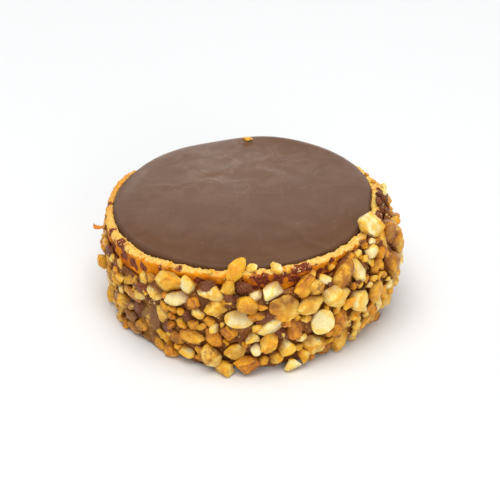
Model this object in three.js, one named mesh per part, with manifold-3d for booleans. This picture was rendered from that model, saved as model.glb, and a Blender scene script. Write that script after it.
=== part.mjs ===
// A tall round biscuit with a raised rim, a set chocolate top inside the rim, and a side coated in
// chocolate cream and chopped roasted peanuts. Millimetres, +Z up, floor at z = 0, front towards -Y.
// A bearing is an angle round the biscuit in radians: 0 at the front, positive towards +X.
import * as THREE from "three";
import { ParametricGeometry } from "three/addons/geometries/ParametricGeometry.js";
import { mergeVertices } from "three/addons/utils/BufferGeometryUtils.js";
import Module from "manifold-3d";

const wasm = await Module();
wasm.setup();

const DEG = Math.PI / 180;
const CLEAR = 0.3; // gap between neighbouring pieces, and below the coating

// Biscuit
const FOOT_R = 33.4; // flat underside
const WALL_R_LOW = 34.6;
const WALL_R_RIM = 37.2;
const RIM_H = 28.4; // rim height at the front
const TILT = 0.038; // rise of the whole top towards the right, mm per mm
const RIM_ROUND = 1.3; // outer edge of the rim
const CRUMB = 0.22; // crags of the baked edge
const RECESS = 3.4; // hollow below the rim that the chocolate fills
const RECESS_R = 34.8;
const RECESS_SHIFT = -0.4; // the hollow lies a little to the left
const RECESS_BACK = 1.0; // and is wider at the back
const WEAR_LEFT = 0.5; // thinner rim at the left front

// Chocolate top
const PILLOW = 1.9; // height of its rounded edge above the rim
const DOME = 0.6; // further rise at the middle
const BACK_SWELL = 1.35; // further rise at the back edge

// Coating
const COAT = 1.9; // thickness of the chocolate cream
const COAT_LEFT = 1.1; // less of it on the left
const COAT_FRONT = 1.0; // more at the front
const COAT_BELLY = 2.9; // more half-way up the right side
const COAT_FOOT = 0.6; // level of its lower edge
const THIN_FOOT = 0.4; // of its thickness that it loses towards the foot
const THIN_FOOT_FRONT = 0.25; // less than that at the front
const THIN_FOOT_RIGHT = 0.35; // and more at the right front
const THIN_FOOT_H = 7; // up to this height
const THIN_EDGE = 0.6; // of its thickness that it loses towards its upper edge
const THIN_EDGE_H = 2;
const DEEPEST = 4; // how far the uncut ring reaches into the biscuit
const WALL_SHOWS = 5.8; // biscuit wall left bare below the rim
const WALL_SHOWS_RIGHT = 1.6;

// Chopped nuts
const LARGEST = 9.5;
const SMALLEST = 3.2;
const RULED = 124; // nuts placed by rule after the named ones
const TRIES = 40;
const SPACING = 0.92; // of the sum of two nuts' mean radii
const OVERLAP = 0.16; // of its length, the most a ruled nut may run into others
const CRISP = 12; // sharpness of a nut's broken edges
const HALF_LEFT = 0.15; // of a half nut's thickness beyond its middle
const SUNK_LEFT = 0.4; // of its thickness, how much deeper a nut lies on the left
const SUNK_RIGHT = 0.4; // and low down on the right
const SUNK_WIPED = 0.32; // and where the cream is wiped flat, low on the left front
const FULL = 1.16; // makes up for what flat facets cut off
const FULL_BLOCK = 1.3;
const SEED = 4021;

const FACETS = 72; // round the cookie

// thick: of the width; block: 2 is an egg, 6 a cube; cuts: broken faces; keep: how much they leave
const KINDS = {
  kernel: { thick: 0.8, block: 2.3, cuts: 3, keep: 0.68 },
  half: { thick: 0.75, block: 2.2, cuts: 1, keep: 0.7 },
  chunk: { thick: 0.85, block: 3.4, cuts: 5, keep: 0.55 },
  cube: { thick: 0.9, block: 6, cuts: 1, keep: 0.8 },
  sliver: { thick: 0.5, block: 3, cuts: 3, keep: 0.6 },
  leaf: { thick: 0.4, block: 1.6, cuts: 0, keep: 1 },
};
const MIX = ["kernel", "chunk", "chunk", "half", "kernel", "chunk", "sliver"];

// The nuts that stand out: bearing in degrees, height, length, width, lean in degrees, kind, and a
// radius where a nut stands farther out than the rest
const NAMED = [
  [-80, 14.5, 5.6, 3.6, 50, "kernel", 38.4],
  [-68, 10, 2.6, 2.6, 0, "chunk"],
  [-74, 17.5, 5, 3.4, 60, "kernel"],
  [-72, 12.5, 4, 3, 75, "chunk"],
  [-61.5, 9, 6.5, 5.5, 35, "kernel"],
  [-65, 5, 3.5, 3, 10, "chunk"],
  [-55.5, 6, 5.5, 3.2, 0, "kernel"],
  [-55, 2.6, 7.5, 3.2, -5, "kernel"],
  [-54, 18, 5, 3.6, 50, "chunk"],
  [-49, 19, 4.5, 2.6, 75, "chunk"],
  [-43.5, 21, 4.5, 2.4, 80, "sliver"],
  [-39, 22.5, 4, 3.4, 30, "chunk"],
  [-53.5, 14.5, 9.5, 3, -5, "sliver"],
  [-36.5, 18.5, 6, 4.8, 15, "chunk"],
  [-29.5, 24, 8, 7, -55, "chunk"],
  [-22, 24.5, 5, 3.6, -60, "sliver"],
  [-26, 20, 8.5, 3.4, 22, "kernel"],
  [-33.5, 14, 6, 3.2, -80, "kernel"],
  [-18, 17.5, 4.6, 3.2, 20, "chunk"],
  [-19, 20, 5, 3, 45, "chunk"],
  [-25, 13, 3.8, 3.4, 0, "chunk"],
  [-13, 23, 8, 4.8, -5, "kernel"],
  [-6, 25.5, 5.6, 4, 45, "chunk"],
  [-10, 20, 6.6, 4.6, 28, "kernel"],
  [-2, 17, 7.8, 5.2, 3, "half"],
  [-27.5, 7.5, 6.2, 3, -20, "kernel"],
  [-20, 9.5, 8.2, 3.8, 0, "kernel"],
  [-12, 10.5, 7.4, 3.8, -48, "kernel"],
  [-5, 12.5, 5.6, 4.4, -8, "chunk"],
  [-23.5, 3.5, 5, 4.2, 20, "kernel"],
  [-12, 5, 7.4, 4.8, -62, "kernel", 39.2],
  [-3, 6.5, 5.8, 4.4, 15, "half"],
  [-7, 2, 5.6, 4.2, 45, "chunk", 39.6],
  [1, 3, 8, 4.6, -10, "kernel", 39],
  [18, 2, 5, 3, 5, "chunk", 39.6],
  [23, 3.4, 4.6, 3.6, 80, "chunk", 39],
  [3, 11, 3.4, 3.4, 5, "cube"],
  [5, 7.5, 4.4, 3.6, -55, "chunk"],
  [1, 21.5, 7.4, 4.2, -30, "kernel"],
  [4, 23, 4.4, 3.2, 50, "chunk"],
  [10, 23.5, 7, 4.6, 18, "chunk"],
  [15.5, 19.5, 8.8, 7, -30, "half"],
  [10, 14, 8.6, 4, 34, "sliver"],
  [9, 9.5, 5.8, 5.4, -60, "kernel"],
  [16, 7, 6.4, 4.2, -62, "chunk"],
  [12, 4, 5.4, 3.6, -10, "chunk"],
  [22.5, 24.5, 7.6, 4.4, 60, "chunk"],
  [27, 23.5, 5.4, 4.2, -10, "kernel"],
  [24.5, 19, 7.8, 5, -5, "kernel"],
  [31.5, 24.5, 4.8, 2.2, -35, "sliver"],
  [39.5, 25, 10.5, 5, 40, "kernel"],
  [47, 23, 9.5, 3.6, -65, "sliver"],
  [53.5, 27, 4, 3.4, 30, "cube"],
  [64, 27, 9, 3, -70, "sliver"],
  [70, 27.5, 11, 5, -68, "kernel"],
  [84, 15.5, 6.4, 4, -60, "kernel", 41],
  [85, 9, 5.2, 3.4, 85, "kernel", 39.6],
  [67, 12.5, 2.8, 2.8, 20, "cube"],
  [80, 4, 4, 3, 0, "chunk"],
  [62, 8, 5, 3.6, 80, "kernel"],
  [97, 28, 5, 3.8, 60, "chunk", 37.6],
  [87, 24.5, 9.5, 4.4, -72, "kernel", 38.2],
  [-86, 20, 4.2, 3, 60, "chunk", 37],
  [69, 18.5, 9.5, 5.4, -65, "kernel"],
  [56.5, 14.5, 8, 4.8, -80, "kernel"],
  [35.5, 19.5, 10, 5.2, -30, "kernel"],
  [46.5, 15.5, 8.2, 5, -62, "kernel"],
  [29.5, 13, 8, 6.6, -75, "half"],
  [37.5, 11, 8.6, 4.2, 70, "kernel"],
  [54, 6, 7, 3.4, 20, "kernel"],
  [28, 6, 7.4, 5.6, -60, "kernel"],
];
// The two that stand on the rim also have how far they tip inwards, in degrees
const ON_RIM = [
  [-3.5, 30.1, 8.4, 3.9, 60, "leaf", 37.3, 34],
  [60, 31.2, 7, 5, 8, "cube", 36.9, 25],
];

const ramp = (t) => Math.min(1, Math.max(0, t));
const wrapped = (a) => Math.atan2(Math.sin(a), Math.cos(a));
// A smooth bump of height 1 round a bearing, both in degrees
const bump = (b, at, wide) => Math.exp(-((wrapped(b - at * DEG) / (wide * DEG)) ** 2));
// Slow unevenness between -1 and 1
const uneven = (b, start) =>
  (Math.sin(3 * b + start) + Math.sin(5 * b + 2.3 * start) + Math.sin(8 * b + 4.1 * start)) / 3;

function draws(seed) {
  let state = seed;
  return () => {
    state = (state * 48271) % 2147483647;
    return state / 2147483647;
  };
}

// Heights and radii of the cookie
const topPlane = (r, b) => RIM_H + TILT * r * Math.sin(b);
const crags = (b, start) => CRUMB * (uneven(4 * b, start) + uneven(7 * b, start + 1));
const rimH = (b) => topPlane(WALL_R_RIM, b) + crags(b, 1) - 0.4 * bump(b, -55, 20);
const wallR = (z) => WALL_R_LOW + ((WALL_R_RIM - WALL_R_LOW) * z) / RIM_H;
const recessR = (b) =>
  RECESS_R +
  RECESS_SHIFT * Math.sin(b) +
  RECESS_BACK * ramp(-Math.cos(b)) +
  WEAR_LEFT * bump(b, -55, 20) +
  0.2 * uneven(b, 2);
// Level of the chocolate's broad top
const level = (r, b) =>
  topPlane(r, b) + PILLOW + BACK_SWELL * bump(b, 174, 40) * (r / RECESS_R) ** 2;
const wallShows = (b) =>
  WALL_SHOWS -
  (WALL_SHOWS - WALL_SHOWS_RIGHT) * ramp(bump(b, 68, 28) * 1.3) -
  1.6 * bump(b, -29, 9) -
  1.6 * bump(b, -6, 6) +
  0.5 * uneven(b, 5);
const coatTop = (b) => rimH(b) - wallShows(b);
const coatThick = (b) =>
  COAT - COAT_LEFT * ramp(-Math.sin(b)) + COAT_FRONT * bump(b, 0, 25) + 0.3 * uneven(2 * b, 3);
// The cream is thinner towards its lower and upper edges
const coatR = (b, z) => {
  const thinned = THIN_FOOT - THIN_FOOT_FRONT * bump(b, 5, 22) + THIN_FOOT_RIGHT * bump(b, 50, 30);
  const low = thinned * ramp(1 - z / THIN_FOOT_H) ** 2;
  const high = THIN_EDGE * ramp(1 - (coatTop(b) - z) / THIN_EDGE_H) ** 2;
  const up = ramp(z / coatTop(b));
  const belly = COAT_BELLY * bump(b, 80, 34) * (4 * up * (1 - up)) ** 2;
  return wallR(z) + CLEAR + coatThick(b) * (1 - low) * (1 - high) + belly;
};

// A skin of points [radius, height] carried right round, closed at the axis or on itself
function carried(outlineAt) {
  const steps = outlineAt(0).length - 1;
  const place = (u, v, target) => {
    const b = -u * 2 * Math.PI;
    const [r, z] = outlineAt(b)[Math.round(v * steps)];
    target.set(r * Math.sin(b), -r * Math.cos(b), z);
  };
  return solidOf(new ParametricGeometry(place, FACETS, steps));
}

function solidOf(geometry) {
  const bare = new THREE.BufferGeometry();
  const loose = geometry.index ? geometry.toNonIndexed() : geometry;
  bare.setAttribute("position", loose.getAttribute("position"));
  const whole = mergeVertices(bare, 1e-4);
  return new wasm.Manifold(
    new wasm.Mesh({
      numProp: 3,
      vertProperties: new Float32Array(whole.attributes.position.array),
      triVerts: new Uint32Array(whole.index.array),
    }),
  );
}

function biscuit() {
  return carried((b) => {
    const h = rimH(b);
    const inner = recessR(b);
    const edge = WALL_R_RIM + 0.6 * crags(b, 3);
    const floor = topPlane(inner, b) - RECESS;
    return [
      [0, RIM_H - RECESS],
      [inner - 0.8, floor],
      [inner, floor + 0.6],
      [inner, h - 0.5],
      [inner + 0.3, h - crags(b, 6) / 2],
      [edge - RIM_ROUND, h],
      [edge - 0.3 * RIM_ROUND, h - 0.35 * RIM_ROUND],
      [edge, h - RIM_ROUND],
      [wallR(h / 2) + 0.3 * crags(b, 8), h / 2],
      [wallR(2), 2],
      [wallR(0) - 0.4, 0.6],
      [FOOT_R, 0],
      [0, 0],
    ];
  });
}

function chocolateTop() {
  return carried((b) => {
    const r = recessR(b) - CLEAR;
    const h = rimH(b);
    const top = level(r, b);
    const foot = topPlane(r, b) - RECESS + CLEAR;
    return [
      [0, RIM_H + PILLOW + DOME],
      [0.45 * r, level(0.45 * r, b) + 0.82 * DOME],
      [0.8 * r, level(0.8 * r, b) + 0.35 * DOME],
      [r - 1.4, top],
      [r - 0.5, top - 0.14 * (top - h)],
      [r - 0.1, top - 0.5 * (top - h)],
      [r + 0.1, h + 0.25],
      [r, h - 0.5],
      [r, foot + 0.7],
      [r - 0.9, foot],
      [0, RIM_H - RECESS + CLEAR],
    ];
  });
}

function cream() {
  return carried((b) => {
    const top = coatTop(b);
    const side = [1, 0.92, 0.55, 0.15, 0].map((f) => {
      const z = COAT_FOOT + (top - COAT_FOOT) * f;
      return [coatR(b, z), z];
    });
    const foot = [FOOT_R - DEEPEST, COAT_FOOT];
    return [foot, [FOOT_R - DEEPEST, top], ...side, foot];
  });
}

// What the coating has to keep clear of: the biscuit, the chocolate and the floor
function keepOut() {
  const body = carried((b) => {
    const h = rimH(b);
    const r = recessR(b);
    const edge = WALL_R_RIM + 0.6 * crags(b, 3) + CLEAR;
    return [
      [0, RIM_H + PILLOW + DOME + 2 * CLEAR],
      [0.8 * r, level(0.8 * r, b) + 2 * CLEAR],
      [r - 1.2, level(r, b) + CLEAR],
      [r - 0.3, h + 0.95 * (level(r, b) - h)],
      [r + 0.1, h + 0.6 * (level(r, b) - h)],
      [r + 0.4, h + 1.6 * CLEAR],
      [edge - RIM_ROUND, h + 1.3 * CLEAR],
      [edge, h - 0.2],
      [edge + 0.05, h - RIM_ROUND],
      [wallR(0) + CLEAR, 0],
      [wallR(0) + CLEAR, -20],
      [0, -20],
    ];
  });
  const floor = new THREE.BoxGeometry(120, 120, 20).translate(0, 0, CLEAR - 10);
  return body.add(solidOf(floor));
}

// Broken faces of a nut: outward direction and distance from its middle
function brokenFaces(kind, half, draw) {
  const { cuts, keep } = KINDS[kind];
  const flat = { way: new THREE.Vector3(0, 0, 1), at: HALF_LEFT * half.z };
  const faces = kind === "half" ? [flat] : [];
  for (let i = 0; i < cuts; i++) {
    const way = new THREE.Vector3(draw() - 0.5, draw() - 0.5, draw() - 0.4).normalize();
    const full = way.clone().multiply(half).length();
    faces.push({ way, at: full * (keep + 0.3 * draw()) });
  }
  return faces;
}

// Distance from a nut's middle to its skin in a direction
function reach(way, half, block, faces) {
  const egg =
    Math.abs(way.x / half.x) ** block +
    Math.abs(way.y / half.y) ** block +
    Math.abs(way.z / half.z) ** block;
  let sum = egg ** (CRISP / block);
  for (const face of faces) sum += Math.max(0, way.dot(face.way) / face.at) ** CRISP;
  return sum ** (-1 / CRISP);
}

// Chopped blocks have eight corners, rounded nuts more facets the larger they are
function facetsFor(kind, length) {
  if (KINDS[kind].block > 2.5) return new THREE.BoxGeometry(1, 1, 1);
  if (length > 9.9) return new THREE.IcosahedronGeometry(1, 1);
  return length > 6 ? new THREE.OctahedronGeometry(1, 1) : new THREE.IcosahedronGeometry(1, 0);
}

// One nut from a row of the list above, lying along the wall and half sunk in the cream
function nut([degrees, z, length, width, lean, kind, radius, tip = 0], number) {
  const draw = draws(SEED + 7919 * (number + 1));
  const b = degrees * DEG;
  const thick = Math.min(4.6, Math.max(1.7, KINDS[kind].thick * width));
  const half = new THREE.Vector3(length / 2, width / 2, thick / 2);
  const faces = brokenFaces(kind, half, draw);
  const sunk =
    SUNK_LEFT * bump(b, -65, 45) +
    SUNK_RIGHT * bump(b, 46, 26) * ramp((10 - z) / 8) +
    SUNK_WIPED * bump(b, -42, 12) * ramp((13 - z) / 8);
  const out = radius ?? coatR(b, z) + thick * (0.02 + 0.22 * draw() - sunk);
  const under = 30 * ramp((3 - z) / 3);
  const turn = new THREE.Matrix4()
    .makeRotationZ(b)
    .multiply(new THREE.Matrix4().makeTranslation(0, -out, z))
    .multiply(new THREE.Matrix4().makeRotationX((90 - tip + under + 24 * (draw() - 0.5)) * DEG))
    .multiply(new THREE.Matrix4().makeRotationY(24 * (draw() - 0.5) * DEG))
    .multiply(new THREE.Matrix4().makeRotationZ(lean * DEG));
  const skin = facetsFor(kind, length);
  const full = KINDS[kind].block > 2.5 ? FULL_BLOCK : FULL;
  const places = skin.getAttribute("position");
  for (let i = 0; i < places.count; i++) {
    const way = new THREE.Vector3().fromBufferAttribute(places, i).normalize();
    way.multiplyScalar(full * reach(way, half, KINDS[kind].block, faces));
    places.setXYZ(i, way.x, way.y, way.z);
  }
  return solidOf(skin.applyMatrix4(turn));
}

const meanR = (row) => Math.sqrt(row[2] * row[3]) / 2;

// Free space between a place on the wall and the nuts already there
function room(row, placed) {
  let least = Infinity;
  for (const other of placed) {
    const along = wrapped((row[0] - other[0]) * DEG) * WALL_R_RIM;
    const apart = Math.hypot(along, row[1] - other[1]);
    least = Math.min(least, apart - SPACING * (meanR(row) + meanR(other)));
  }
  return least;
}

// The rest of the nuts, largest first, each in the roomiest of a few drawn places
function ruledNuts(named) {
  const draw = draws(SEED);
  const placed = [...named];
  for (let i = 0; i < RULED; i++) {
    const size = LARGEST + (SMALLEST - LARGEST) * (i / RULED) ** 0.75;
    const length = size * (0.9 + 0.25 * draw());
    const width = length * (0.46 + 0.3 * draw());
    const kind = MIX[Math.floor(draw() * MIX.length)];
    const lean = 180 * (draw() - 0.5);
    let best = null;
    let most = -Infinity;
    for (let k = 0; k < TRIES; k++) {
      const degrees = 360 * draw() - 180;
      const top = coatTop(degrees * DEG) - 0.2 * width;
      const row = [degrees, 1.2 + (top - 1.2) * draw(), length, width, lean, kind];
      const free = room(row, placed);
      if (free > most) [best, most] = [row, free];
    }
    if (most > -OVERLAP * length) placed.push(best);
  }
  return placed;
}

// The cream with every nut joined to it, without the loose scraps
function nutCoating() {
  const rows = [...ruledNuts(NAMED), ...ON_RIM];
  const joined = wasm.Manifold.union([cream(), ...rows.map(nut)]).subtract(keepOut());
  return joined.decompose().reduce((a, c) => (c.volume() > a.volume() ? c : a));
}

function piece(name, solid, look) {
  const { vertProperties, triVerts } = solid.getMesh();
  const geometry = new THREE.BufferGeometry();
  geometry.setAttribute("position", new THREE.BufferAttribute(vertProperties, 3));
  geometry.setIndex(new THREE.BufferAttribute(triVerts, 1));
  const mesh = new THREE.Mesh(geometry, new THREE.MeshStandardMaterial(look));
  mesh.name = name;
  return mesh;
}

const cookie = new THREE.Group();
cookie.name = "peanut_cookie";
cookie.add(
  piece("biscuit", biscuit(), { color: 0xd9962f, roughness: 0.85, metalness: 0 }),
  piece("chocolate_top", chocolateTop(), { color: 0x7c6150, roughness: 0.45, metalness: 0 }),
  piece("nut_coating", nutCoating(), { color: 0xc98f45, roughness: 0.6, metalness: 0 }),
);

export default cookie;
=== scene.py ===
"""Looks of the peanut cookie: golden biscuit, chocolate top, and chopped nuts in chocolate cream.

Sizes are millimetres up to where a mesh is made, which is in metres, +Z up, front towards -Y.
A bearing b is an angle round the biscuit in radians: 0 at the front, positive towards +X.
"""

import math

import bmesh
import bpy
import numpy as np
from mathutils import Matrix, Vector


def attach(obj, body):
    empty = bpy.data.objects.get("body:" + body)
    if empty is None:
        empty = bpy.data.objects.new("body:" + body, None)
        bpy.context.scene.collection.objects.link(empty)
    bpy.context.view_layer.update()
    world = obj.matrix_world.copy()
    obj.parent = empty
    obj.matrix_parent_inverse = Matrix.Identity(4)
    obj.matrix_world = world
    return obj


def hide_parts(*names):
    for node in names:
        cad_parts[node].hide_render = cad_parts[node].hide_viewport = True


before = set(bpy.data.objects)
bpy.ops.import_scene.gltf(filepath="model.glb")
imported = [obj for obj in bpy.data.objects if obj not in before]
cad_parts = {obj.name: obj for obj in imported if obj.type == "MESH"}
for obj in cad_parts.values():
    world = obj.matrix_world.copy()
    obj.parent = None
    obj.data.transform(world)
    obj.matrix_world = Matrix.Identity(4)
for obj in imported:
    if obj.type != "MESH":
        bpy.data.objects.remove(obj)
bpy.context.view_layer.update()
MM = 0.001
DEG = math.pi / 180
CLEAR = 0.3

# A change in one place is given as how much, its bearing and its width in degrees.
# Noise is given in layers of how much, the size of its lumps, and a seed.

# Biscuit
FOOT_R = 33.4
WALL_R_LOW = 34.6
WALL_R_RIM = 37.2
RIM_H = 28.4  # at the front
TILT = 0.038  # rise of the whole top towards the right, for each millimetre
RIM_ROUND = 1.0  # outer edge of the rim
CRUMB = 0.15  # crags of the baked edge
RECESS = 3.4  # hollow below the rim that the chocolate fills
RECESS_R = 34.8
RECESS_SHIFT = -0.4  # the hollow lies a little to the left
RECESS_BACK = 1.0  # and is wider at the back
WORN_THIN = (0.5, -55, 20)  # where the rim is worn thinner
WORN_LOW = (0.4, -55, 20)  # and lower
THICKER = [(1.0, -46, 30), (0.5, -112, 14), (0.9, 86, 12)]  # where it is thicker than a round one
CREST = (1.3, -112, 13)  # its highest tatter
CRUMB_DOWN = 0.3  # how far the open crumb reaches down the wall
CRUMB_DOWN_MORE = [(0.9, -75, 24), (0.2, 50, 18)]
BAKED_OVER = (0.6, -108, 26)  # where the rim shows less crumb
CRUMB_EDGE = [(0.5, 1.6, 5), (0.4, 0.6, 9)]
CRUMB_RELIEF = [(0.1, 1.4, 1), (0.2, 0.7, 2), (0.18, 0.35, 3)]
WALL_RELIEF = [(0.18, 2.4, 6), (0.1, 0.8, 7)]
SMEAR_THICK = 0.16
SMEAR_RELIEF = [(0.08, 0.8, 8)]
SMEAR_EDGE = [(0.45, 1.3, 21), (0.25, 0.5, 22)]
SMEAR_CREEP = [(1.6, 3.2, 23)]  # how chocolate creeps up the wall from the cream
LOOSE_SMEAR = [(1.0, 2.1, 24), (0.5, 0.8, 25)]

# Chocolate top
PILLOW = 1.9  # height of its rounded edge above the rim
DOME = 0.6  # further rise at the middle
BACK = [(1.35, 174, 40), (-0.9, -170, 18)]  # swell and dip at the back
FRONT_FALL = 0.9  # how much the top falls away towards its front edge
WORKED_AT = (-3, 16)  # middle of the place where it was worked, where a sheen is also painted on
WORKED_R = 15
WORKED_WIDE = 1.5  # how much wider than deep that place is
SWIRL = 0.006
SWIRL_AT = (3, 9)
SWIRL_APART = 8
WARP = (11, 31)  # size of the lumps and seed of what bends the folds
RIDGES = (9, 32)
RIDGE_WIDE = 0.06
RIDGE_HIGH = 0.06
FOLDS = [(0.15, 5.5, 35)]
BROAD_WAVES = [(0.07, 17, 33), (0.02, 6, 34)]

# Chocolate cream under the nuts
COAT = 1.9  # its thickness
COAT_LEFT = 1.1  # less of it on the left
COAT_FRONT = (1.0, 0, 25)
COAT_BELLY = (2.9, 80, 34)  # more half-way up the right side
COAT_FOOT = 0.6  # level of its lower edge
THIN_FOOT = 0.4  # how much thinner it is at the foot, as a share
THIN_FOOT_MORE = [(-0.25, 5, 22), (0.35, 50, 30)]
THIN_FOOT_H = 7
THIN_EDGE = 0.6  # and at its upper edge
THIN_EDGE_H = 2
WALL_SHOWS = 5.8  # biscuit wall left bare below the rim
WALL_SHOWS_RIGHT = 1.6
WALL_HIDDEN = (1.3, 68, 28)  # where the coating rises on the right
HUMPS = [(1.6, -29, 9), (1.6, -6, 6)]  # and where nuts stand higher
CREAM_RELIEF = [(0.35, 3.1, 41), (0.22, 1.3, 42), (0.1, 0.6, 43)]
CREAM_CREST = [(0.8, 2.6, 44), (0.4, 0.9, 45)]
RISE_MOST = 0.9  # how far the cream rises to a nut
CREAM_SUNK = 0.25
WIPED = (1.5, -48, 13)  # the place where cream was wiped flat over the nuts
WIPED_H = 7
WIPED_THICK = 2.5
STREAK_HIGH = 0.8
STREAK = (1.2, 46)

# Chopped nuts, placed as in the solids
LARGEST = 9.5
SMALLEST = 3.2
RULED = 124  # nuts placed by rule after the named ones
TRIES = 40
SPACING = 0.92
OVERLAP = 0.16
LOWEST = 1.2  # level of the lowest nut's middle
SEED = 4021
HALF_LEFT = 0.15  # what is left of a half beyond its flat face
KEEP_MORE = 0.3  # a broken face leaves up to this much more
FULL = 1.1  # makes up for the broken faces
# Where they lie deeper, and below what height; as a share of their thickness
SUNK = [((0.4, -65, 45), math.inf), ((0.4, 46, 26), 10), ((0.32, -42, 12), 13)]
SUNK_FADE = 8
PROUD_LEAST = 0.02  # how far the middle stands out, as a share of the thickness
PROUD_MORE = 0.22
SWAY = 24  # how unevenly the nuts lie, in degrees
UNDER = 30  # how far those at the foot tip under
UNDER_H = 3
SMALL = 3  # a longer nut keeps its thickness within the next two
THINNEST = 1.7
THICKEST = 4.6

# Their finer form, and the small pieces between them
CRISP = 44  # sharpness of broken edges
CHIPS = 7  # lesser chips off each nut's corners
CHIP_LEAST = 0.7
CHIP_MORE = 0.28
BITS = 260  # small pieces that fill the gaps
BIT_LARGEST = 4.4
BIT_SMALLEST = 2.3
BIT_OVERLAP = 0.36
BIT_PROUD = 0.5  # how far they stand out of the cream
SHARD_PROUD = 0.15  # and a shard of chocolate
BIT_SWAY = 80  # how unevenly they lie, in degrees
LOOSE = 1000  # number of the first small piece
EVEN_SIZE = 0.88  # share of its size for a whole half without chips
FEW_FACES = 2.6  # up to this length a piece is a plain angular chip
FINE_FROM = 5  # above this length it has the finest mesh
BALL_AREA = 14  # area that a ball's points share out
BROKEN_EDGE = 30  # degrees between faces that meet in a crisp edge
CLING = 0.82  # film of cream on a nut at the coating's surface
CLING_FADE = 1.25  # millimetres over which it thins out
CLEAN_LEFT = (0.35, -75, 25)
CLEAN_CREAM = 0.35  # less of it on pale nuts

# Thickness as a share of the width, form (2 is an egg, 6 a cube), broken faces, and how much of
# the nut each leaves at least
KINDS = {
    "kernel": (0.8, 2.3, 3, 0.68),
    "half": (0.75, 2.2, 1, 0.7),
    "chunk": (0.85, 3.4, 5, 0.55),
    "cube": (0.9, 6, 1, 0.8),
    "sliver": (0.5, 3, 3, 0.6),
    "leaf": (0.4, 1.6, 0, 1),
    "shard": (0.3, 3, 6, 0.45),
}
MIX = ["kernel", "chunk", "chunk", "half", "kernel", "chunk", "sliver"]

# How roasted a nut is, from cream to brown
ROAST = {"ivory": -0.06, "cream": 0.12, "pale": 0.22, "olive": 0.35}
ROAST |= {"gold": 0.5, "cocoa": 0.6, "amber": 0.72, "chocolate": 1}
ROAST_MIX = ["gold", "pale", "gold", "amber", "olive", "gold", "pale", "gold", "cocoa", "amber"]

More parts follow.
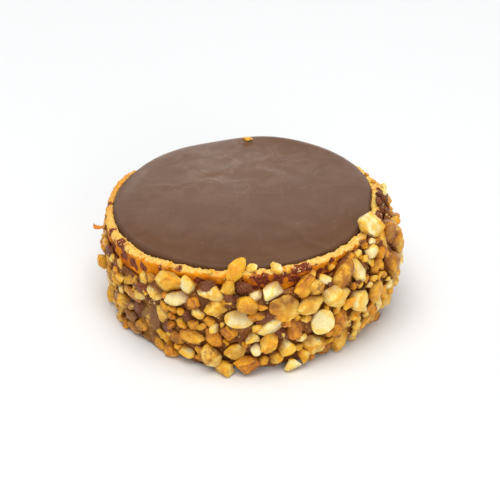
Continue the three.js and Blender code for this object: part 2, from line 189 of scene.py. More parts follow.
# Bearing in degrees, height, length, width, lean in degrees, kind, roast, and a radius for those
# that stand farther out
NAMED = [
    (-80, 14.5, 5.6, 3.6, 50, "kernel", "gold", 38.4),
    (-68, 10, 2.6, 2.6, 0, "chunk", "pale"),
    (-74, 17.5, 5, 3.4, 60, "kernel", "gold"),
    (-72, 12.5, 4, 3, 75, "chunk", "cocoa"),
    (-61.5, 9, 6.5, 5.5, 35, "kernel", "gold"),
    (-65, 5, 3.5, 3, 10, "chunk", "gold"),
    (-55.5, 6, 5.5, 3.2, 0, "kernel", "pale"),
    (-55, 2.6, 7.5, 3.2, -5, "kernel", "cocoa"),
    (-54, 18, 5, 3.6, 50, "chunk", "gold"),
    (-49, 19, 4.5, 2.6, 75, "chunk", "gold"),
    (-43.5, 21, 4.5, 2.4, 80, "sliver", "pale"),
    (-39, 22.5, 4, 3.4, 30, "chunk", "cocoa"),
    (-53.5, 14.5, 9.5, 3, -5, "sliver", "cocoa"),
    (-36.5, 18.5, 6, 4.8, 15, "chunk", "pale"),
    (-29.5, 24, 8, 7, -55, "chunk", "gold"),
    (-22, 24.5, 5, 3.6, -60, "sliver", "cream"),
    (-26, 20, 8.5, 3.4, 22, "kernel", "ivory"),
    (-33.5, 14, 6, 3.2, -80, "kernel", "olive"),
    (-18, 17.5, 4.6, 3.2, 20, "chunk", "pale"),
    (-19, 20, 5, 3, 45, "chunk", "amber"),
    (-25, 13, 3.8, 3.4, 0, "chunk", "gold"),
    (-13, 23, 8, 4.8, -5, "kernel", "pale"),
    (-6, 25.5, 5.6, 4, 45, "chunk", "gold"),
    (-10, 20, 6.6, 4.6, 28, "kernel", "gold"),
    (-2, 17, 7.8, 5.2, 3, "half", "ivory", 39.7),
    (-27.5, 7.5, 6.2, 3, -20, "kernel", "amber"),
    (-20, 9.5, 8.2, 3.8, 0, "kernel", "gold"),
    (-12, 10.5, 7.4, 3.8, -48, "kernel", "amber"),
    (-5, 12.5, 5.6, 4.4, -8, "chunk", "amber"),
    (-23.5, 3.5, 5, 4.2, 20, "kernel", "pale"),
    (-12, 5, 7.4, 4.8, -62, "kernel", "olive", 39.2),
    (-3, 6.5, 5.8, 4.4, 15, "half", "olive"),
    (-7, 2, 5.6, 4.2, 45, "chunk", "gold", 39.6),
    (1, 3, 8, 4.6, -10, "kernel", "amber", 39),
    (18, 2, 5, 3, 5, "chunk", "pale", 39.6),
    (23, 3.4, 4.6, 3.6, 80, "chunk", "gold", 39),
    (3, 11, 3.4, 3.4, 5, "cube", "cream"),
    (5, 7.5, 4.4, 3.6, -55, "chunk", "cream"),
    (1, 21.5, 7.4, 4.2, -30, "kernel", "gold"),
    (4, 23, 4.4, 3.2, 50, "chunk", "cream"),
    (10, 23.5, 7, 4.6, 18, "chunk", "ivory"),
    (15.5, 19.5, 8.8, 7, -30, "half", "gold"),
    (10, 14, 8.6, 4, 34, "sliver", "cream"),
    (9, 9.5, 5.8, 5.4, -60, "kernel", "gold"),
    (16, 7, 6.4, 4.2, -62, "chunk", "pale"),
    (12, 4, 5.4, 3.6, -10, "chunk", "gold"),
    (22.5, 24.5, 7.6, 4.4, 60, "chunk", "amber"),
    (27, 23.5, 5.4, 4.2, -10, "kernel", "olive"),
    (24.5, 19, 7.8, 5, -5, "kernel", "olive"),
    (31.5, 24.5, 4.8, 2.2, -35, "sliver", "cream"),
    (39.5, 25, 10.5, 5, 40, "kernel", "cocoa"),
    (47, 23, 9.5, 3.6, -65, "sliver", "cream"),
    (53.5, 27, 4, 3.4, 30, "cube", "cream"),
    (64, 27, 9, 3, -70, "sliver", "gold"),
    (70, 27.5, 11, 5, -68, "kernel", "cocoa"),
    (84, 15.5, 6.4, 4, -60, "kernel", "pale", 41),
    (85, 9, 5.2, 3.4, 85, "kernel", "pale", 39.6),
    (67, 12.5, 2.8, 2.8, 20, "cube", "cream"),
    (80, 4, 4, 3, 0, "chunk", "amber"),
    (62, 8, 5, 3.6, 80, "kernel", "pale"),
    (97, 28, 5, 3.8, 60, "chunk", "pale", 37.6),
    (87, 24.5, 9.5, 4.4, -72, "kernel", "cocoa", 38.2),
    (-86, 20, 4.2, 3, 60, "chunk", "gold", 37),
    (69, 18.5, 9.5, 5.4, -65, "kernel", "cocoa"),
    (56.5, 14.5, 8, 4.8, -80, "kernel", "gold"),
    (35.5, 19.5, 10, 5.2, -30, "kernel", "pale"),
    (46.5, 15.5, 8.2, 5, -62, "kernel", "pale"),
    (29.5, 13, 8, 6.6, -75, "half", "ivory", 39.9),
    (37.5, 11, 8.6, 4.2, 70, "kernel", "amber"),
    (54, 6, 7, 3.4, 20, "kernel", "gold"),
    (28, 6, 7.4, 5.6, -60, "kernel", "olive"),
]
# The two that stand on the rim also have how far they tip inwards, in degrees.
ON_RIM = [
    (-3.2, 29.7, 7, 4, 58, "leaf", "gold", 37.2, 34),
    (61, 31.4, 5, 6.6, 4, "cube", "pale", 36.4, 58),
]

# Small bits that stand on the rim and the chocolate's edge
BITS_ON_RIM = [
    (3, 29.6, 3, 2.2, 40, "chunk", "pale", 35.8, 45),
    (12.5, 29.7, 3.6, 2.6, -20, "chunk", "pale", 36.6, 45),
    (17, 28.6, 1.6, 1.2, 10, "chunk", "gold", 37, 40),
    (-13, 28.6, 1.6, 1.1, 30, "chunk", "gold", 36.8, 60),
    (-30, 28.2, 1.8, 1.3, 60, "chunk", "gold", 36.9, 60),
    (179, 31.6, 3, 1.6, 10, "sliver", "gold", 32.2, 85),
    (112, 30.1, 1.8, 1.2, 50, "chunk", "amber", 35.9, 70),
    (105, 30.3, 1.6, 1.2, 10, "chunk", "amber", 36, 70),
    (94, 30.5, 2.8, 2, 30, "chunk", "cream", 37.5, 30),
    (100, 29.8, 2.6, 2, 0, "chunk", "pale", 37.8, 20),
    (84, 31, 3.2, 2.4, 20, "chunk", "chocolate", 35.6, 60),
    (90, 31, 2.8, 2, 60, "chunk", "chocolate", 36.1, 50),
    (87, 30.6, 3.4, 2.2, -40, "chunk", "chocolate", 36.9, 30),
    (79, 30.6, 2.2, 1.6, 10, "chunk", "chocolate", 36.4, 40),
    (93, 30.2, 2.4, 1.8, 80, "chunk", "chocolate", 36.8, 30),
    (44, 28.6, 3, 2, 30, "chunk", "amber", 38.8),
    (48, 28, 3.6, 2.4, -20, "chunk", "gold", 38.6),
    (52, 29, 3, 2.2, 60, "chunk", "amber", 38.6),
    (56.5, 28.9, 3.4, 2.2, 10, "chunk", "pale", 38.8),
    (50, 26.4, 2.6, 2, 80, "chunk", "gold", 40),
    (60, 28.2, 2.6, 2, 40, "chunk", "cocoa", 39.4),
    (34, 27.6, 2.6, 1.8, 10, "chunk", "amber", 38.6),
    (26, 27, 2.6, 1.8, 50, "chunk", "gold", 38.4),
]

# Shards of chocolate among the nuts: bearing in degrees, height, length, width, lean in degrees
SHARDS = [
    (-42.5, 18.5, 7, 3.4, 10), (-48, 11.4, 4.6, 5.4, 80), (-13.7, 25.4, 6, 3.4, 20),
    (-5.4, 22.4, 5.4, 2.8, -40), (0.5, 25, 7, 3.4, -12), (-5, 15, 5, 3, 60), (24, 14.4, 5, 3.6, 30),
    (14.5, 11.6, 6, 3.4, -40), (7.6, 17, 7.4, 4.4, 5), (47, 19.4, 4.6, 3.4, 70),
    (62, 26.4, 6, 4, 30), (84, 15.6, 4.6, 3.4, 60), (-31, 9.8, 7, 3, 85), (34, 22, 5, 3, -30),
    (-70, 21, 5, 3, 60), (-22, 15.4, 4, 3, 0),
]

# Chocolate spots on the bare wall: bearing in degrees, height, half width, half height
SPOTS = [
    (-94, 26.4, 1.8, 0.8), (-72, 26.2, 1.2, 1.7), (-67, 24, 1.6, 1.2), (-62, 26, 1.8, 1.6),
    (-56, 24.6, 2.2, 1.8), (-51, 23.4, 1.8, 1.6), (-44, 24.4, 1.3, 1), (-35, 26, 1.3, 0.9),
    (-27, 27.4, 1, 0.6), (-18, 25.4, 1.9, 1.1), (-10, 24.4, 1.6, 1.2), (-1, 25.2, 3, 2),
    (-2, 27.6, 1.1, 0.8), (3, 24.4, 3, 1.6), (6.5, 26.6, 3.6, 1.9), (13, 26, 2.6, 1.4),
    (17, 27.4, 2.2, 1), (23, 28, 3.4, 1.3), (20, 25.6, 2.4, 1.4), (30, 26.2, 2.8, 1.2),
    (36, 28.2, 1, 0.7), (42, 26.8, 1.5, 1.4), (48, 27, 1.7, 1.6), (54, 28.2, 1.3, 1),
    (58, 27, 1.5, 1.6), (66, 28.6, 1.6, 1.1), (76, 29.6, 3.6, 1.9), (88, 29.8, 4.2, 1.9),
    (-84, 25.8, 1.1, 0.8),
]


# ---- forms


def wrapped(a):
    return np.arctan2(np.sin(a), np.cos(a))


def polar(p):
    """Radius and bearing of points."""
    return np.hypot(p[:, 0], p[:, 1]), np.arctan2(p[:, 0], -p[:, 1])


def patch(b, place):
    """A smooth change round one bearing."""
    much, at, wide = place
    return much * np.exp(-((wrapped(b - at * DEG) / (wide * DEG)) ** 2))


def patches(b, places):
    return sum(patch(b, place) for place in places)


def uneven(b, start):
    """Slow unevenness between -1 and 1."""
    return (np.sin(3 * b + start) + np.sin(5 * b + 2.3 * start) + np.sin(8 * b + 4.1 * start)) / 3


def draws(seed):
    """Repeatable numbers from 0 to 1."""
    state = seed
    while True:
        state = state * 48271 % 2147483647
        yield state / 2147483647


def top_plane(r, b):
    return RIM_H + TILT * r * np.sin(b)


def crags(b, start):
    return CRUMB * (uneven(4 * b, start) + uneven(7 * b, start + 1))


def rim_h(b):
    return top_plane(WALL_R_RIM, b) + crags(b, 1) - patch(b, WORN_LOW) + patch(b, CREST)


def wall_r(z):
    return WALL_R_LOW + (WALL_R_RIM - WALL_R_LOW) * z / RIM_H


def recess_r(b):
    wear = patch(b, WORN_THIN) + RECESS_BACK * np.clip(-np.cos(b), 0, 1)
    wear = wear - patches(b, THICKER)
    return RECESS_R + RECESS_SHIFT * np.sin(b) + wear + 0.2 * uneven(b, 2)


def level(r, b):
    """Level of the chocolate's broad top."""
    return top_plane(r, b) + PILLOW + patches(b, BACK) * (r / RECESS_R) ** 2


def wall_shows(b):
    side = np.clip(patch(b, WALL_HIDDEN), 0, 1)
    shows = WALL_SHOWS - (WALL_SHOWS - WALL_SHOWS_RIGHT) * side
    return shows - patches(b, HUMPS) + 0.5 * uneven(b, 5)


def coat_top(b):
    return rim_h(b) - wall_shows(b)


def coat_thick(b):
    side = patch(b, COAT_FRONT) - COAT_LEFT * np.clip(-np.sin(b), 0, 1)
    return COAT + side + 0.3 * uneven(2 * b, 3)


def coat_r(b, z):
    low = (THIN_FOOT + patches(b, THIN_FOOT_MORE)) * np.clip(1 - z / THIN_FOOT_H, 0, 1) ** 2
    high = THIN_EDGE * np.clip(1 - (coat_top(b) - z) / THIN_EDGE_H, 0, 1) ** 2
    up = np.clip(z / coat_top(b), 0, 1)
    belly = patch(b, COAT_BELLY) * (4 * up * (1 - up)) ** 2
    return wall_r(z) + CLEAR + coat_thick(b) * (1 - low) * (1 - high) + belly


def lattice(i, j, k, seed):
    """A repeatable number from 0 to 1 for each cell of a grid."""
    with np.errstate(over="ignore"):
        h = i.astype(np.uint32) * np.uint32(374761393) + j.astype(np.uint32) * np.uint32(668265263)
        h = h + k.astype(np.uint32) * np.uint32(2246822519) + np.uint32(seed * 97531 + 11)
        h = (h ^ (h >> np.uint32(13))) * np.uint32(1274126177)
        h = h ^ (h >> np.uint32(16))
    return h / 4294967295.0


def grain(points, size, seed=0):
    """Smooth noise from -1 to 1 at points, with lumps about size across."""
    q = points / size
    cell = np.floor(q)
    t = q - cell
    t = t * t * (3 - 2 * t)
    c = cell.astype(np.int64)
    total = 0
    for corner in np.ndindex(2, 2, 2):
        share = 1
        for axis, on in enumerate(corner):
            share = share * (t[..., axis] if on else 1 - t[..., axis])
        total = total + share * lattice(*np.moveaxis(c + corner, -1, 0), seed)
    return 2 * total - 1


def layered(points, layers):
    """Noise in layers of how much, the size of its lumps, and a seed."""
    return sum(much * grain(points, size, seed) for much, size, seed in layers)


def step(x, low, high):
    """0 below low and 1 above high, smoothly."""
    t = np.clip((x - low) / (high - low), 0, 1)
    return t * t * (3 - 2 * t)


# ---- meshes


def piece(name, points, faces, marks, material, smooth=True):
    """A mesh piece from points in millimetres; marks are values kept at its points."""
    mesh = bpy.data.meshes.new(name)
    mesh.vertices.add(len(points))
    mesh.vertices.foreach_set("co", (points * MM).astype(np.float32).ravel())
    sides = faces.shape[1]
    mesh.loops.add(faces.size)
    mesh.loops.foreach_set("vertex_index", faces.astype(np.int32).ravel())
    mesh.polygons.add(len(faces))
    mesh.polygons.foreach_set("loop_start", np.arange(0, faces.size, sides, dtype=np.int32))
    mesh.update(calc_edges=True)
    mesh.validate()
    mesh.polygons.foreach_set("use_smooth", np.broadcast_to(smooth, len(mesh.polygons)).copy())
    for mark, values in marks.items():
        values = np.asarray(values, np.float32)
        kind, part = ("FLOAT_VECTOR", "vector") if values.ndim == 2 else ("FLOAT", "value")
        mesh.attributes.new(mark, kind, "POINT").data.foreach_set(part, values.ravel())
    mesh.materials.append(material)
    return shown(name, mesh)


def shown(name, data):
    obj = bpy.data.objects.new(name, data)
    bpy.context.scene.collection.objects.link(obj)
    return obj


def around(count):
    return np.arange(count) * 2 * math.pi / count


def spread(b, pairs, counts, passes=2):
    """Rows of [radius, height] at each bearing, divided between the pairs and rounded off."""
    ends = [np.stack([np.broadcast_to(x, b.shape) for x in pair]).astype(float) for pair in pairs]
    rows = [ends[0]]
    for low, high, n in zip(ends[:-1], ends[1:], counts):
        rows += [low + (high - low) * (k + 1) / n for k in range(n)]
    rows = np.array(rows)
    for _ in range(passes):
        rows[1:-1] = (rows[:-2] + 2 * rows[1:-1] + rows[2:]) / 4
    return rows


def carry(rows, b):
    """Points on rows of [radius, height] carried round."""
    return np.stack([rows[:, 0] * np.sin(b), -rows[:, 0] * np.cos(b), rows[:, 1]], -1)


def outward(grid, closed):
    """Unit normals of a carried grid."""
    if closed:
        down = np.roll(grid, -1, 0) - np.roll(grid, 1, 0)
    else:
        down = np.gradient(grid, axis=0)
    across = np.roll(grid, -1, 1) - np.roll(grid, 1, 1)
    n = np.cross(across, down)
    n /= np.maximum(np.linalg.norm(n, axis=-1, keepdims=True), 1e-9)
    return n


def wrap(grid, closed):
    """Points and quads of a carried grid, joined on itself or with a pole at each end."""
    k, n = grid.shape[:2]
    rows = np.arange(k)
    low, high = (rows, np.roll(rows, -1)) if closed else (rows[:-1], rows[1:])
    i = np.arange(n)
    j = np.roll(i, -1)
    low, high = low[:, None] * n, high[:, None] * n
    quads = np.stack([low + i, high + i, high + j, low + j], -1).reshape(-1, 4)
    points = grid.reshape(-1, 3)
    p, q, r, s = (points[quads[:, corner]] for corner in range(4))
    size = np.einsum("ij,ij->i", p, np.cross(q, r)).sum()
    size += np.einsum("ij,ij->i", p, np.cross(r, s)).sum()
    return points, quads if size > 0 else quads[:, ::-1]


def carried(name, grid, closed, marks, material):
    """A piece from a carried grid, with marks at its points; the points at a pole are joined."""
    points, quads = wrap(grid, closed)
    marks = {mark: values.ravel() for mark, values in marks.items()}
    obj = piece(name, points, quads, marks, material)
    if not closed:
        made = bmesh.new()
        made.from_mesh(obj.data)
        bmesh.ops.remove_doubles(made, verts=made.verts, dist=1e-7)
        made.to_mesh(obj.data)
        made.free()
    return obj


# ---- shader maths


def srgb(red, green, blue):
    """A colour read off a picture, 0 to 255, as linear light."""
    parts = [c / 255 for c in (red, green, blue)]
    return tuple(((c + 0.055) / 1.055) ** 2.4 if c > 0.0393 else c / 12.92 for c in parts) + (1.0,)


def add_node(tree, kind, inputs, settings):
    """A node whose inputs hold a value or are linked to a socket."""
    made = tree.nodes.new(kind)
    for key, value in settings.items():
        setattr(made, key, value)
    fill(tree, made, inputs)
    return made


def fill(tree, made, inputs):
    for key, value in inputs.items():
        value = getattr(value, "socket", value)
        if isinstance(value, bpy.types.NodeSocket):
            tree.links.new(value, made.inputs[key])
        else:
            made.inputs[key].default_value = value


def summing(operation, swapped=False):
    def method(self, other):
        first, second = (other, self) if swapped else (self, other)
        return self.look.node("ShaderNodeMath", {"operation": operation}, {0: first, 1: second})

    return method


class Value:
    """An output in a material's tree; sums on it add Math nodes."""

    def __init__(self, look, socket):
        self.look = look
        self.socket = socket

    __add__ = __radd__ = summing("ADD")
    __sub__ = summing("SUBTRACT")
    __rsub__ = summing("SUBTRACT", swapped=True)
    __mul__ = __rmul__ = summing("MULTIPLY")


class Look:
    """A material and the nodes that make it."""

    def __init__(self, name):
        self.material = bpy.data.materials.new(name)
        self.material.use_nodes = True
        self.tree = self.material.node_tree
        self.skin = self.tree.nodes["Principled BSDF"]
        spot = {0: self.node("ShaderNodeTexCoord", out="Object"), "Scale": 1 / MM}
        self.place = self.node("ShaderNodeVectorMath", {"operation": "SCALE"}, spot)

    def node(self, kind, settings=None, inputs=None, out=0):
        made = add_node(self.tree, kind, inputs or {}, settings or {})
        return Value(self, made.outputs[out])

    def mark(self, name, out="Fac"):
        return self.node("ShaderNodeAttribute", {"attribute_name": name}, out=out)

    def lumps(self, size, detail=2.0, rough=0.5, at=None, bend=0.0):
        """Noise from 0 to 1 with lumps about size millimetres across."""
        inputs = {"Vector": at or self.place, "Scale": 1 / size, "Detail": detail}
        inputs |= {"Roughness": rough, "Distortion": bend}
        return self.node("ShaderNodeTexNoise", {}, inputs, out="Fac")

    def cells(self, size, at=None):
        """Distance to the nearest of scattered points about size millimetres apart."""
        inputs = {"Vector": at or self.place, "Scale": 1 / size}
        return self.node("ShaderNodeTexVoronoi", {}, inputs, out="Distance")

    def between(self, value, low, high):
        """0 below low and 1 above high, smoothly."""
        settings = {"interpolation_type": "SMOOTHSTEP"}
        inputs = {"Value": value, "From Min": low, "From Max": high}
        return self.node("ShaderNodeMapRange", settings, inputs)

    def ramp(self, value, *stops):
        """Colours at places from 0 to 1; a colour with a fourth number is linear already."""
        colour = self.node("ShaderNodeValToRGB", {}, {"Fac": value}, out="Color")
        elements = colour.socket.node.color_ramp.elements
        while len(elements) < len(stops):
            elements.new(1)
        for element, (at, *shade) in zip(elements, stops):
            element.position = at
            element.color = shade if len(shade) == 4 else srgb(*shade)
        return colour

    def mix(self, amount, first, second, how="MIX"):
        settings = {"data_type": "RGBA", "blend_type": how}
        return self.node("ShaderNodeMix", settings, {0: amount, 6: first, 7: second}, out=2)

    def bump(self, height, depth):
        """height times depth millimetres of relief."""
        inputs = {"Height": height, "Distance": depth * MM, "Strength": 1.0}
        return self.node("ShaderNodeBump", {}, inputs, out="Normal")

    def finish(self, colour, rough, **others):
        """Fills in the skin; in the names of the other inputs, _ stands for a space."""
        others = {name.replace("_", " "): value for name, value in others.items()}
        fill(self.tree, self.skin, {"Base Color": colour, "Roughness": rough} | others)
        return self.material


# How light passes through a skin
SOFT = {"Subsurface_Weight": 0.1, "Subsurface_Scale": 0.001}
DRY = {"Subsurface_Weight": 0.15, "Subsurface_Scale": 0.001}
OILY = {"Subsurface_Weight": 0.2, "Subsurface_Scale": 0.0014, "Subsurface_Radius": (1, 0.85, 0.6)}


def baked_biscuit():
    """Golden baked wall, pale open crumb along the rim, and smears of chocolate."""
    look = Look("baked_biscuit")
    crumb = look.mark("crumb")
    smear = look.mark("smear")
    slow = look.lumps(6, 3, 0.6)
    fine = look.lumps(0.7, 4, 0.65)
    tiny = look.lumps(0.22, 2, 0.6)
    golden = (0.3, 182, 86, 2), (0.45, 220, 122, 2), (0.58, 244, 152, 8), (0.72, 252, 178, 34)
    wall = look.ramp(slow * 0.75 + fine * 0.25, *golden)
    inside = look.ramp(fine, (0.3, 242, 170, 60), (0.5, 255, 206, 100), (0.7, 255, 232, 156))
    colour = look.mix(crumb, wall, inside)
    freckle = look.between(look.cells(1.4), 0.26, 0.1) * (1 - crumb) * 0.6
    colour = look.mix(freckle, colour, srgb(196, 98, 16))
    dark = look.ramp(fine, (0.35, 96, 38, 22), (0.65, 160, 78, 46))
    colour = look.mix(look.between(smear, 0.05, 0.5) * 0.6, colour, srgb(190, 98, 44))
    colour = look.mix(look.between(smear, 0.4, 0.75), colour, dark)
    rough = 0.82 - smear * 0.35
    relief = look.bump(fine * 0.75 + tiny * 0.25, 0.6)
    return look.finish(colour, rough, Normal=relief, Specular_IOR_Level=0.15, **SOFT)


def set_chocolate():
    """Smooth set milk chocolate with faint swirls and pale specks, a painted sheen where it was
    worked, and painted shade along its edge.
    """
    look = Look("set_chocolate")
    slow = look.lumps(14, 3, 0.55, bend=0.6)
    fine = look.lumps(0.9, 3, 0.6)
    worked = look.mark("worked")
    edge = look.mark("edge")
    colour = look.ramp(slow, (0.3, 97, 63, 39), (0.7, 105, 70, 44))
    # painted sheen: a paler colour laid on in patches, most where the top was worked towards the
    # back
    sheen_patches = look.between(look.lumps(7, 4, 0.6, bend=1.6), 0.46, 0.6)
    painted_sheen = sheen_patches * (0.1 + 0.3 * worked) + worked * 0.34
    colour = look.mix(painted_sheen, colour, srgb(134, 104, 86))
    # painted shade: the colour darkens towards the chocolate's edge, where it rounds down to the
    # rim
    colour = look.mix(edge * 0.25, colour, srgb(56, 32, 18))
    speck = look.between(look.cells(2.6), 0.075, 0.045)
    speck = speck * look.between(look.lumps(6, 2), 0.52, 0.58)
    colour = look.mix(speck * 0.7, colour, srgb(190, 146, 100))
    rough = 0.3 + slow * 0.1 + speck * 0.3 + edge * 0.4
    return look.finish(colour, rough, Normal=look.bump(fine, 0.012), Specular_IOR_Level=0.4)


def chocolate_cream():
    """Milk chocolate cream that holds the nuts, streaked where it was wiped."""
    look = Look("chocolate_cream")
    slow = look.lumps(3.5, 3, 0.6)
    fine = look.lumps(0.6, 3, 0.6)
    wiped = look.mark("wiped")
    streak = look.mark("streak") * 0.6 + slow * 0.6
    colour = look.ramp(slow, (0.3, 92, 48, 12), (0.5, 134, 78, 24), (0.68, 174, 108, 38))
    streaked = look.ramp(streak, (0.1, 84, 46, 34), (0.28, 124, 74, 40), (0.5, 176, 122, 54))
    colour = look.mix(wiped, colour, streaked)
    grit = look.between(look.cells(0.9), 0.22, 0.12)
    colour = look.mix(grit * 0.4, colour, srgb(214, 156, 76))
    rough = 0.42 - wiped * 0.14 + fine * 0.2
    relief = look.bump(fine + grit * 0.3, 0.16)
    return look.finish(colour, rough, Normal=relief, Specular_IOR_Level=0.3, **SOFT)


def roasted_nut():
    """Chopped roasted peanut: the roast varies, broken faces are paler, cream clings low down, and
    shade is painted in where a nut sits low in the cream.
    """
    look = Look("roasted_nut")
    roast = look.mark("roast")
    broken = look.mark("broken")
    film = look.mark("film")
    at = look.mark("kernel", out="Vector")
    patches = look.lumps(2.4, 2, 0.5, at=at)
    fine = look.lumps(0.45, 3, 0.6, at=at)
    tiny = look.lumps(0.22, 2, 0.6, at=at)
    edge = 4 * broken * (1 - broken)
    colour = look.ramp(
        roast + (patches - 0.5) * 0.95 - broken * 0.12 + edge * 0.22,
        (0.0, 255, 236, 172),
        (0.1, 255, 226, 134),
        (0.2, 255, 214, 102),
        (0.32, 254, 200, 70),
        (0.46, 251, 185, 38),
        (0.66, 238, 160, 20),
        (0.84, 206, 124, 18),
        (1.0, 150, 84, 18),
    )
    colour = look.mix(look.between(fine, 0.56, 0.72) * 0.55, colour, srgb(214, 134, 30))
    skin = look.mark("veil") * look.between(patches, 0.3, 0.6)
    colour = look.mix(skin, colour, srgb(166, 96, 18))
    # painted shade: the colour is multiplied towards dark brown where the nut sits low in the
    # cream, between the nuts
    colour = look.mix(look.mark("painted_shade") * 0.9, colour, srgb(142, 76, 14), "MULTIPLY")
    # small pale specks scattered over the nut
    pale_specks = look.between(look.cells(0.9, at), 0.16, 0.08)
    colour = look.mix(pale_specks * 0.7, colour, srgb(255, 226, 150))
    cling = look.between(film + (look.lumps(1.6, 3, 0.55) - 0.5) * 0.9, 0.42, 0.66)
    thick = look.ramp(fine, (0.3, 96, 46, 12), (0.7, 148, 82, 26))
    solid = look.ramp(fine, (0.3, 92, 42, 20), (0.7, 150, 82, 44))
    brown = look.mix(look.between(film, 0.45, 0.95), srgb(158, 98, 26), thick)
    brown = look.mix(look.between(film, 1.4, 1.8), brown, solid)
    colour = look.mix(cling * 0.92, colour, brown)
    rough = 0.3 - cling * 0.04 + (fine - 0.5) * 0.3
    relief = look.bump((fine * 0.6 + patches * 0.2 + tiny * 0.2) * (0.3 + roast), 0.8)
    return look.finish(colour, rough, Normal=relief, Specular_IOR_Level=0.42, **OILY)


def crumb_look(name, dark, light):
    look = Look(name)
    tone = look.mark("tone") * 0.7 + look.lumps(0.5) * 0.3
    colour = look.ramp(tone, (0.15, *dark), (0.85, *light))
    return look.finish(colour, 0.75, Normal=look.bump(look.lumps(0.2), 0.1), **DRY)


def white_floor():
    look = Look("white_floor")
    shade = look.lumps(400, 2, 0.5)
    colour = look.ramp(shade, (0.3, 0.835, 0.845, 0.85, 1), (0.7, 0.855, 0.865, 0.87, 1))
    return look.finish(colour, 0.9, Specular_IOR_Level=0.1)


# ---- nuts


def mean_r(row):
    return math.sqrt(row[2] * row[3]) / 2


def room(row, placed):
    least = math.inf
    for other in placed:
        turn = (row[0] - other[0]) * DEG
        along = math.atan2(math.sin(turn), math.cos(turn)) * WALL_R_RIM
        apart = math.hypot(along, row[1] - other[1])
        least = min(least, apart - SPACING * (mean_r(row) + mean_r(other)))
    return least


def ruled_nuts(placed, count, largest, smallest, draw, overlap):
    """Nuts placed largest first, each in the roomiest of a few drawn places."""
    placed = list(placed)
    for i in range(count):
        size = largest + (smallest - largest) * (i / count) ** 0.75
        length = size * (0.9 + 0.25 * next(draw))
        width = length * (0.46 + 0.3 * next(draw))
        kind = MIX[int(next(draw) * len(MIX))]
        lean = 180 * (next(draw) - 0.5)
        best, most = None, -math.inf
        for _ in range(TRIES):
            degrees = 360 * next(draw) - 180
            top = float(coat_top(degrees * DEG)) - 0.2 * width
            row = (degrees, LOWEST + (top - LOWEST) * next(draw), length, width, lean, kind)
            free = room(row, placed)
            if free > most:
                best, most = row, free
        if most > -overlap * length:
            placed.append(best + (ROAST_MIX[(7 * i + len(placed)) % len(ROAST_MIX)],))
    return placed


def ball(level):
    made = bmesh.new()
    bmesh.ops.create_icosphere(made, subdivisions=level, radius=1)
    ways = np.array([v.co[:] for v in made.verts])
    faces = np.array([[v.index for v in f.verts] for f in made.faces])
    made.free()
    return ways / np.linalg.norm(ways, axis=1, keepdims=True), faces


def broken_faces(half, draw, count, down, least, more):
    """Flat faces broken off a nut, each a way and how far out it lies."""
    faces = []
    for _ in range(count):
        way = np.array([next(draw) - 0.5, next(draw) - 0.5, next(draw) - down])
        way /= np.linalg.norm(way)
        faces.append((way, np.linalg.norm(way * half) * (least + more * next(draw))))
    return faces


def skins(ways, half, block, faces):
    """How near each way comes to the egg and to each broken face, and how fast that changes."""
    egg = (np.abs(ways / half) ** block).sum(1)
    slope = np.sign(ways) * np.abs(ways / half) ** (block - 1) / half
    slope *= (egg ** (1 / block - 1))[:, None]
    near = [egg ** (1 / block)] + [ways @ way / at for way, at in faces]
    slopes = [slope] + [np.broadcast_to(way / at, ways.shape) for way, at in faces]
    return np.stack(near, 1), np.stack(slopes, 1)


def onto_edges(ways, half, block, faces, apart):
    """Turns the ways that pass close to an edge between two faces onto it, so that it is crisp."""
    each = np.arange(len(ways))
    for _ in range(2):
        near, slopes = skins(ways, half, block, faces)
        order = np.argsort(-near, 1)
        gap = near[each, order[:, 0]] - near[each, order[:, 1]]
        slope = slopes[each, order[:, 0]] - slopes[each, order[:, 1]]
        slope -= (slope * ways).sum(1, keepdims=True) * ways
        steep = np.linalg.norm(slope, axis=1)
        close = gap < 0.5 * apart * steep
        ways = ways - np.where(close, gap / np.maximum(steep, 1e-6) ** 2, 0)[:, None] * slope
        ways /= np.linalg.norm(ways, axis=1, keepdims=True)
    return ways


def reach(ways, half, block, faces):
    """Distance from a nut's middle to its skin, and how much of each spot is a broken face."""
    near = np.maximum(0, skins(ways, half, block, faces)[0]) ** CRISP
    whole = near.sum(1)
    return whole ** (-1 / CRISP), near[:, 1:].sum(1) / whole


def keep_clear(p):
    """Moves points that would lie in the biscuit, the chocolate or the floor just outside them."""
    r, b = polar(p)
    z = p[:, 2]
    h = rim_h(b)
    wall = np.where(z < h - RIM_ROUND, wall_r(z), WALL_R_RIM) + CLEAR
    over = np.clip((recess_r(b) - r) / 1.5, 0, 1)
    roof = h + CLEAR + over * (level(r, b) - h)
    inside = (r < wall) & (z < roof)
    lift = inside & (roof - z < wall - r)
    out = np.where(inside & ~lift, wall, r)
    z = np.where(lift, roof, z)
    return np.stack([out * np.sin(b), -out * np.cos(b), np.maximum(z, CLEAR)], -1)


def sunk_share(b, z):
    """How much deeper than most a nut lies in the cream, as a share of its thickness."""
    sunk = 0
    for place, below in SUNK:
        sunk += float(patch(b, place)) * min(1, max(0, (below - z) / SUNK_FADE))
    return sunk


def laid(b, z, out, lean, tip, sway, draw):
    """The turn and the shift that lay a nut along the wall, as a matrix."""
    under = UNDER * min(1, max(0, (UNDER_H - z) / UNDER_H))
    turn = Matrix.Rotation(b, 4, "Z") @ Matrix.Translation((0, -out, z))
    turn @= Matrix.Rotation((90 - tip + under + sway * (next(draw) - 0.5)) * DEG, 4, "X")
    flat = Matrix.Rotation(lean * DEG, 4, "Z")
    turn @= Matrix.Rotation(sway * (next(draw) - 0.5) * DEG, 4, "Y") @ flat
    return np.array(turn)


